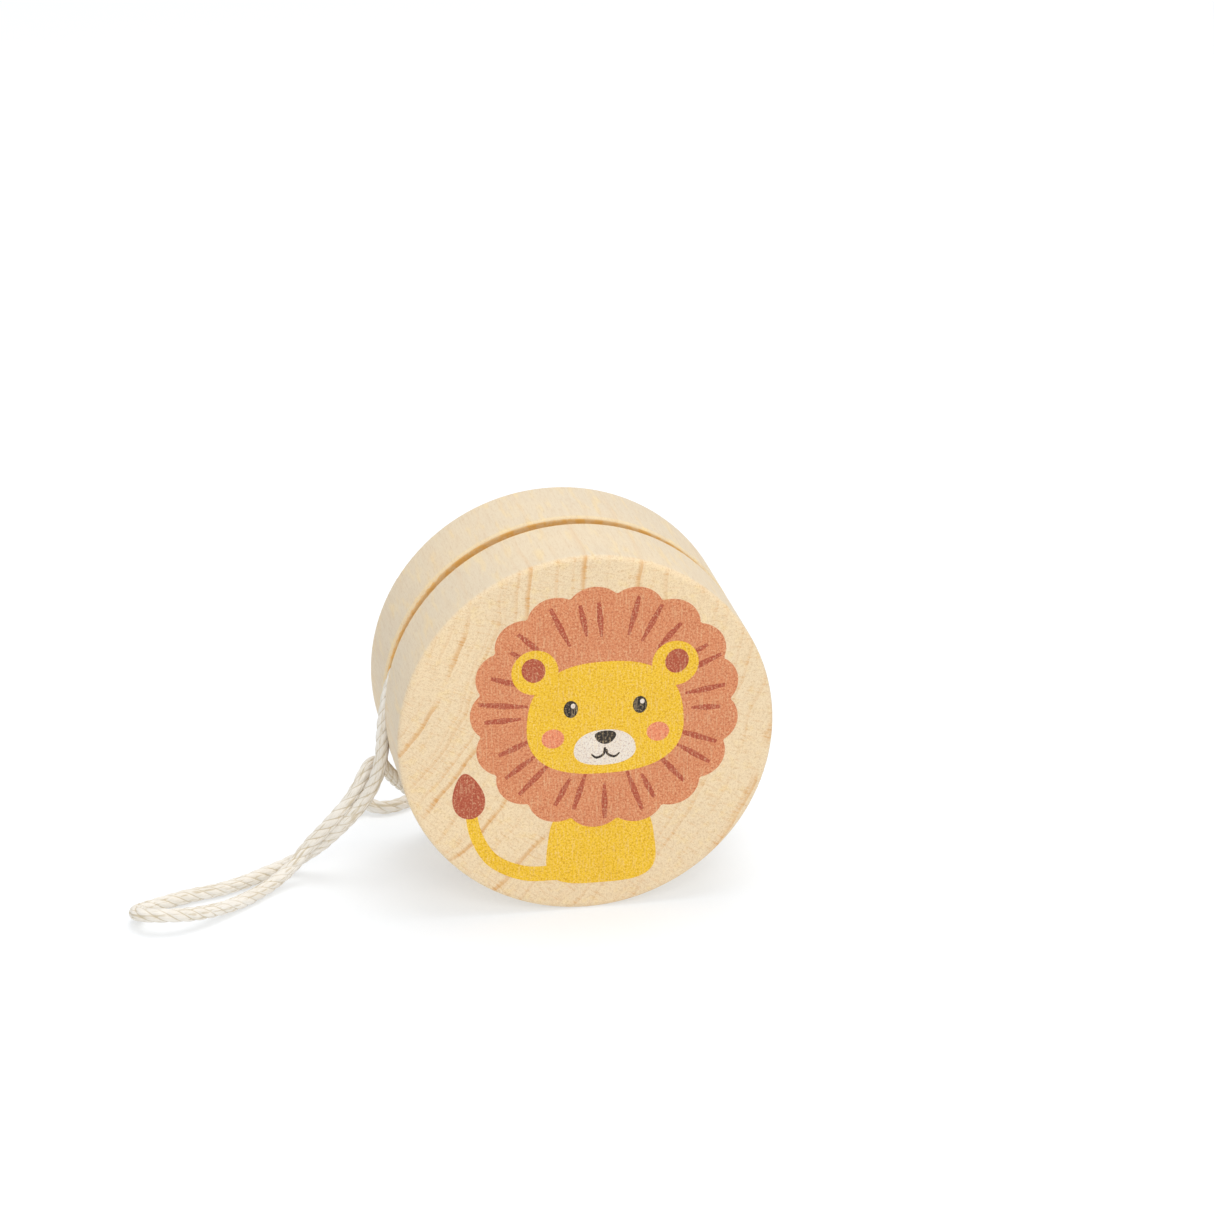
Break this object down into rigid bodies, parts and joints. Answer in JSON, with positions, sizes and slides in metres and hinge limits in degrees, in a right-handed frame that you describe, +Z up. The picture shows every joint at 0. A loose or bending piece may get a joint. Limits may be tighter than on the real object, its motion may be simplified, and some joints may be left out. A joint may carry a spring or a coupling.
{
  "type": "yo-yo",
  "caption": "Wooden yo-yo of two turned discs on a glued dowel, its cotton string wound in the groove and its finger loop laid out beside it.",
  "frame": {"origin": "on the table, straight under the middle of the axle, midway between the two discs", "axes": "+Y along the axle from the printed front face to the rear face, +Z up, +X to the right seen from the front"},
  "size_m": [0.0855, 0.0413, 0.05],
  "materials": {
    "turned_wood": "fine-sanded pale wood under a thin matt lacquer",
    "dowel_wood": "plain sanded dowel",
    "cotton_string": "three-strand twisted natural cotton",
    "printed_ink": "thin matt ink printed on the wood"
  },
  "bodies": {
    "string": {"axle_loop": "cotton_string", "string_winding": "cotton_string", "string_tail": "cotton_string", "string_end_knot": "cotton_string"},
    "discs": {"front_half": "turned_wood", "rear_half": "turned_wood", "axle_dowel": "dowel_wood"}
  },
  "joints": [
    {"name": "disc_spin", "type": "hinge", "parent": "string", "child": "discs", "pos_m": [0, 0, 0.025], "axis": [0, 1, 0], "continuous": true}
  ]
}
